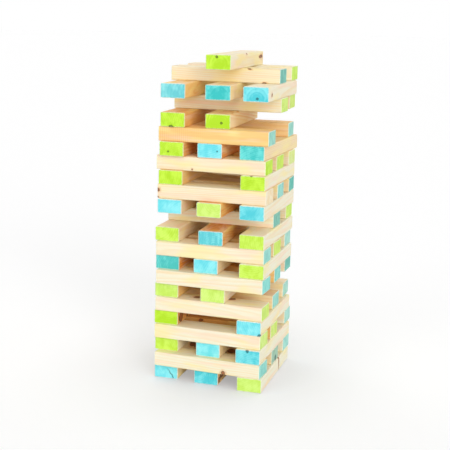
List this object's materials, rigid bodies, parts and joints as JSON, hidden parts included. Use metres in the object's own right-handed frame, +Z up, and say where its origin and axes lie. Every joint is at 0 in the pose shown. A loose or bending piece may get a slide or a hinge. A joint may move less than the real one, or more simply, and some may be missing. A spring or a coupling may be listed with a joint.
{
  "type": "giant tumbling tower",
  "caption": "Tall lawn game of loose pine blocks laid crosswise in layers, ends washed lime or turquoise, shown in play with blocks drawn out and laid on top.",
  "frame": {"origin": "on the ground, under the middle of the stack, on the underside of the bottom middle block", "axes": "+Z up; +X to the right and +Y to the back for a player who stands in front; blocks run along Y in odd layers and along X in even ones"},
  "size_m": [0.2763, 0.3004, 0.7601],
  "materials": {
    "lime_ended_pine": "bare planed pine, both sawn ends washed with thin lime paint",
    "turquoise_ended_pine": "bare planed pine, both sawn ends washed with thin turquoise paint",
    "bare_pine": "bare planed pine, ends left unpainted"
  },
  "bodies": {
    "layer_01_left": {"layer_01_left": "turquoise_ended_pine"},
    "layer_01_middle": {"layer_01_middle": "turquoise_ended_pine"},
    "layer_01_right": {"layer_01_right": "lime_ended_pine"},
    "layer_02_front": {"layer_02_front": "turquoise_ended_pine"},
    "layer_02_middle": {"layer_02_middle": "turquoise_ended_pine"},
    "layer_02_back": {"layer_02_back": "turquoise_ended_pine"},
    "layer_03_left": {"layer_03_left": "lime_ended_pine"},
    "layer_03_middle": {"layer_03_middle": "turquoise_ended_pine"},
    "layer_03_right": {"layer_03_right": "turquoise_ended_pine"},
    "layer_04_front": {"layer_04_front": "lime_ended_pine"},
    "layer_04_middle": {"layer_04_middle": "lime_ended_pine"},
    "layer_04_back": {"layer_04_back": "turquoise_ended_pine"},
    "layer_05_left": {"layer_05_left": "lime_ended_pine"},
    "layer_05_right": {"layer_05_right": "turquoise_ended_pine"},
    "layer_06_front": {"layer_06_front": "lime_ended_pine"},
    "layer_06_middle": {"layer_06_middle": "turquoise_ended_pine"},
    "layer_06_back": {"layer_06_back": "turquoise_ended_pine"},
    "layer_07_left": {"layer_07_left": "lime_ended_pine"},
    "layer_07_middle": {"layer_07_middle": "lime_ended_pine"},
    "layer_08_front": {"layer_08_front": "turquoise_ended_pine"},
    "layer_08_middle": {"layer_08_middle": "turquoise_ended_pine"},
    "layer_08_back": {"layer_08_back": "turquoise_ended_pine"},
    "layer_09_left": {"layer_09_left": "turquoise_ended_pine"},
    "layer_09_middle": {"layer_09_middle": "turquoise_ended_pine"},
    "layer_09_right": {"layer_09_right": "lime_ended_pine"},
    "layer_10_front": {"layer_10_front": "turquoise_ended_pine"},
    "layer_10_middle": {"layer_10_middle": "lime_ended_pine"},
    "layer_10_back": {"layer_10_back": "turquoise_ended_pine"},
    "layer_11_left": {"layer_11_left": "lime_ended_pine"},
    "layer_11_middle": {"layer_11_middle": "turquoise_ended_pine"},
    "layer_11_right": {"layer_11_right": "lime_ended_pine"},
    "layer_12_middle": {"layer_12_middle": "turquoise_ended_pine"},
    "layer_12_back": {"layer_12_back": "lime_ended_pine"},
    "layer_13_left": {"layer_13_left": "turquoise_ended_pine"},
    "layer_13_middle": {"layer_13_middle": "lime_ended_pine"},
    "layer_13_right": {"layer_13_right": "turquoise_ended_pine"},
    "layer_14_front": {"layer_14_front": "bare_pine"},
    "layer_14_middle": {"layer_14_middle": "turquoise_ended_pine"},
    "layer_14_back": {"layer_14_back": "turquoise_ended_pine"},
    "layer_15_left": {"layer_15_left": "lime_ended_pine"},
    "layer_15_right": {"layer_15_right": "lime_ended_pine"},
    "layer_16_front": {"layer_16_front": "lime_ended_pine"},
    "layer_16_middle": {"layer_16_middle": "lime_ended_pine"},
    "layer_16_back": {"layer_16_back": "lime_ended_pine"},
    "layer_17_left": {"layer_17_left": "lime_ended_pine"},
    "layer_17_middle": {"layer_17_middle": "turquoise_ended_pine"},
    "layer_17_right": {"layer_17_right": "turquoise_ended_pine"},
    "layer_18_front": {"layer_18_front": "turquoise_ended_pine"},
    "layer_18_back": {"layer_18_back": "turquoise_ended_pine"},
    "layer_19_left": {"layer_19_left": "lime_ended_pine"},
    "layer_19_middle": {"layer_19_middle": "lime_ended_pine"},
    "layer_20_middle": {"layer_20_middle": "lime_ended_pine"},
    "layer_20_back": {"layer_20_back": "lime_ended_pine"},
    "layer_21_left": {"layer_21_left": "turquoise_ended_pine"},
    "layer_21_middle": {"layer_21_middle": "turquoise_ended_pine"},
    "layer_21_right": {"layer_21_right": "turquoise_ended_pine"},
    "layer_22_middle": {"layer_22_middle": "turquoise_ended_pine"},
    "layer_22_back": {"layer_22_back": "lime_ended_pine"},
    "layer_23_middle": {"layer_23_middle": "lime_ended_pine"}
  },
  "joints": [
    {"name": "layer_01_left_slide", "type": "slide", "parent": "layer_01_middle", "child": "layer_01_left", "axis": [0, 1, 0], "range_m": [-0.28, 0.28]},
    {"name": "layer_01_right_slide", "type": "slide", "parent": "layer_01_middle", "child": "layer_01_right", "axis": [-0.0165, 0.9999, 0], "range_m": [-0.28, 0.28]},
    {"name": "layer_02_front_slide", "type": "slide", "parent": "layer_01_middle", "child": "layer_02_front", "axis": [0.9988, -0.0496, 0], "range_m": [-0.28, 0.28]},
    {"name": "layer_02_middle_slide", "type": "slide", "parent": "layer_01_middle", "child": "layer_02_middle", "axis": [1, 0.0083, 0], "range_m": [-0.28, 0.28]},
    {"name": "layer_02_back_slide", "type": "slide", "parent": "layer_01_middle", "child": "layer_02_back", "axis": [1, 0.0083, 0], "range_m": [-0.28, 0.28]},
    {"name": "layer_03_left_slide", "type": "slide", "parent": "layer_01_middle", "child": "layer_03_left", "axis": [0, 1, 0], "range_m": [-0.28, 0.28]},
    {"name": "layer_03_middle_slide", "type": "slide", "parent": "layer_01_middle", "child": "layer_03_middle", "axis": [0.0083, 1, 0], "range_m": [-0.28, 0.28]},
    {"name": "layer_03_right_slide", "type": "slide", "parent": "layer_01_middle", "child": "layer_03_right", "axis": [0.0083, 1, 0], "range_m": [-0.28, 0.28]},
    {"name": "layer_04_front_slide", "type": "slide", "parent": "layer_01_middle", "child": "layer_04_front", "axis": [0.9995, -0.0331, 0], "range_m": [-0.28, 0.28]},
    {"name": "layer_04_middle_slide", "type": "slide", "parent": "layer_01_middle", "child": "layer_04_middle", "axis": [1, -0.0083, 0], "range_m": [-0.28, 0.28]},
    {"name": "layer_04_back_slide", "type": "slide", "parent": "layer_01_middle", "child": "layer_04_back", "axis": [0.9999, 0.0165, 0], "range_m": [-0.28, 0.28]},
    {"name": "layer_05_left_slide", "type": "slide", "parent": "layer_01_middle", "child": "layer_05_left", "axis": [0, 1, 0], "range_m": [-0.28, 0.28]},
    {"name": "layer_05_right_slide", "type": "slide", "parent": "layer_01_middle", "child": "layer_05_right", "axis": [0, 1, 0], "range_m": [-0.28, 0.28]},
    {"name": "layer_06_front_slide", "type": "slide", "parent": "layer_01_middle", "child": "layer_06_front", "axis": [0.9997, -0.0248, 0], "range_m": [-0.28, 0.28]},
    {"name": "layer_06_middle_slide", "type": "slide", "parent": "layer_01_middle", "child": "layer_06_middle", "axis": [1, 0.0083, 0], "range_m": [-0.28, 0.28]},
    {"name": "layer_06_back_slide", "type": "slide", "parent": "layer_01_middle", "child": "layer_06_back", "axis": [0.9995, 0.0331, 0], "range_m": [-0.28, 0.28]},
    {"name": "layer_07_left_slide", "type": "slide", "parent": "layer_01_middle", "child": "layer_07_left", "axis": [0.0248, 0.9997, 0], "range_m": [-0.28, 0.28]},
    {"name": "layer_07_middle_slide", "type": "slide", "parent": "layer_01_middle", "child": "layer_07_middle", "axis": [-0.0165, 0.9999, 0], "range_m": [-0.28, 0.28]},
    {"name": "layer_08_front_slide", "type": "slide", "parent": "layer_01_middle", "child": "layer_08_front", "axis": [0.9991, -0.0413, 0], "range_m": [-0.28, 0.28]},
    {"name": "layer_08_middle_slide", "type": "slide", "parent": "layer_01_middle", "child": "layer_08_middle", "axis": [0.9999, 0.0165, 0], "range_m": [-0.28, 0.28]},
    {"name": "layer_08_back_slide", "type": "slide", "parent": "layer_01_middle", "child": "layer_08_back", "axis": [0.9999, 0.0165, 0], "range_m": [-0.28, 0.28]},
    {"name": "layer_09_left_slide", "type": "slide", "parent": "layer_01_middle", "child": "layer_09_left", "axis": [0.0165, 0.9999, 0], "range_m": [-0.28, 0.28]},
    {"name": "layer_09_middle_slide", "type": "slide", "parent": "layer_01_middle", "child": "layer_09_middle", "axis": [0.0083, 1, 0], "range_m": [-0.28, 0.28]},
    {"name": "layer_09_right_slide", "type": "slide", "parent": "layer_01_middle", "child": "layer_09_right", "axis": [-0.0083, 1, 0], "range_m": [-0.28, 0.28]},
    {"name": "layer_10_front_slide", "type": "slide", "parent": "layer_01_middle", "child": "layer_10_front", "axis": [0.9999, -0.0165, 0], "range_m": [-0.28, 0.28]},
    {"name": "layer_10_middle_slide", "type": "slide", "parent": "layer_01_middle", "child": "layer_10_middle", "axis": [0.9997, -0.0248, 0], "range_m": [-0.28, 0.28]},
    {"name": "layer_10_back_slide", "type": "slide", "parent": "layer_01_middle", "child": "layer_10_back", "axis": [0.9999, 0.0165, 0], "range_m": [-0.28, 0.28]},
    {"name": "layer_11_left_slide", "type": "slide", "parent": "layer_01_middle", "child": "layer_11_left", "axis": [0, 1, 0], "range_m": [-0.28, 0.28]},
    {"name": "layer_11_middle_slide", "type": "slide", "parent": "layer_01_middle", "child": "layer_11_middle", "axis": [-0.0331, 0.9995, 0], "range_m": [-0.28, 0.28]},
    {"name": "layer_11_right_slide", "type": "slide", "parent": "layer_01_middle", "child": "layer_11_right", "axis": [0, 1, 0], "range_m": [-0.28, 0.28]},
    {"name": "layer_12_middle_slide", "type": "slide", "parent": "layer_01_middle", "child": "layer_12_middle", "axis": [1, -0.0083, 0], "range_m": [-0.28, 0.28]},
    {"name": "layer_12_back_slide", "type": "slide", "parent": "layer_01_middle", "child": "layer_12_back", "axis": [1, 0, 0], "range_m": [-0.28, 0.28]},
    {"name": "layer_13_left_slide", "type": "slide", "parent": "layer_01_middle", "child": "layer_13_left", "axis": [-0.0165, 0.9999, 0], "range_m": [-0.28, 0.28]},
    {"name": "layer_13_middle_slide", "type": "slide", "parent": "layer_01_middle", "child": "layer_13_middle", "axis": [0.0083, 1, 0], "range_m": [-0.28, 0.28]},
    {"name": "layer_13_right_slide", "type": "slide", "parent": "layer_01_middle", "child": "layer_13_right", "axis": [0.0083, 1, 0], "range_m": [-0.28, 0.28]},
    {"name": "layer_14_front_slide", "type": "slide", "parent": "layer_01_middle", "child": "layer_14_front", "axis": [0.9999, -0.0165, 0], "range_m": [-0.28, 0.28]},
    {"name": "layer_14_middle_slide", "type": "slide", "parent": "layer_01_middle", "child": "layer_14_middle", "axis": [0.9999, 0.0165, 0], "range_m": [-0.28, 0.28]},
    {"name": "layer_14_back_slide", "type": "slide", "parent": "layer_01_middle", "child": "layer_14_back", "axis": [0.9988, 0.0496, 0], "range_m": [-0.28, 0.28]},
    {"name": "layer_15_left_slide", "type": "slide", "parent": "layer_01_middle", "child": "layer_15_left", "axis": [0, 1, 0], "range_m": [-0.28, 0.28]},
    {"name": "layer_15_right_slide", "type": "slide", "parent": "layer_01_middle", "child": "layer_15_right", "axis": [0.0083, 1, 0], "range_m": [-0.28, 0.28]},
    {"name": "layer_16_front_slide", "type": "slide", "parent": "layer_01_middle", "child": "layer_16_front", "axis": [0.9999, -0.0165, 0], "range_m": [-0.28, 0.28]},
    {"name": "layer_16_middle_slide", "type": "slide", "parent": "layer_01_middle", "child": "layer_16_middle", "axis": [0.9999, -0.0165, 0], "range_m": [-0.28, 0.28]},
    {"name": "layer_16_back_slide", "type": "slide", "parent": "layer_01_middle", "child": "layer_16_back", "axis": [1, 0, 0], "range_m": [-0.28, 0.28]},
    {"name": "layer_17_left_slide", "type": "slide", "parent": "layer_01_middle", "child": "layer_17_left", "axis": [0.0083, 1, 0], "range_m": [-0.28, 0.28]},
    {"name": "layer_17_middle_slide", "type": "slide", "parent": "layer_01_middle", "child": "layer_17_middle", "axis": [0, 1, 0], "range_m": [-0.28, 0.28]},
    {"name": "layer_17_right_slide", "type": "slide", "parent": "layer_01_middle", "child": "layer_17_right", "axis": [0.0413, 0.9991, 0], "range_m": [-0.28, 0.28]},
    {"name": "layer_18_front_slide", "type": "slide", "parent": "layer_01_middle", "child": "layer_18_front", "axis": [1, 0, 0], "range_m": [-0.28, 0.28]},
    {"name": "layer_18_back_slide", "type": "slide", "parent": "layer_01_middle", "child": "layer_18_back", "axis": [0.9991, 0.0413, 0], "range_m": [-0.28, 0.28]},
    {"name": "layer_19_left_slide", "type": "slide", "parent": "layer_01_middle", "child": "layer_19_left", "axis": [-0.0165, 0.9999, 0], "range_m": [-0.28, 0.28]},
    {"name": "layer_19_middle_slide", "type": "slide", "parent": "layer_01_middle", "child": "layer_19_middle", "axis": [-0.0413, 0.9991, 0], "range_m": [-0.28, 0.28]},
    {"name": "layer_20_middle_slide", "type": "slide", "parent": "layer_01_middle", "child": "layer_20_middle", "axis": [1, -0.0083, 0], "range_m": [-0.28, 0.28]},
    {"name": "layer_20_back_slide", "type": "slide", "parent": "layer_01_middle", "child": "layer_20_back", "axis": [0.9995, 0.0331, 0], "range_m": [-0.28, 0.28]},
    {"name": "layer_21_left_slide", "type": "slide", "parent": "layer_01_middle", "child": "layer_21_left", "axis": [-0.0083, 1, 0], "range_m": [-0.28, 0.28]},
    {"name": "layer_21_middle_slide", "type": "slide", "parent": "layer_01_middle", "child": "layer_21_middle", "axis": [-0.0413, 0.9991, 0], "range_m": [-0.28, 0.28]},
    {"name": "layer_21_right_slide", "type": "slide", "parent": "layer_01_middle", "child": "layer_21_right", "axis": [-0.0083, 1, 0], "range_m": [-0.28, 0.28]},
    {"name": "layer_22_middle_slide", "type": "slide", "parent": "layer_01_middle", "child": "layer_22_middle", "axis": [1, 0.0083, 0], "range_m": [-0.28, 0.28]},
    {"name": "layer_22_back_slide", "type": "slide", "parent": "layer_01_middle", "child": "layer_22_back", "axis": [1, 0.0083, 0], "range_m": [-0.28, 0.28]},
    {"name": "layer_23_middle_lift", "type": "slide", "parent": "layer_01_middle", "child": "layer_23_middle", "axis": [0, 0, 1], "range_m": [0, 0.3]}
  ]
}
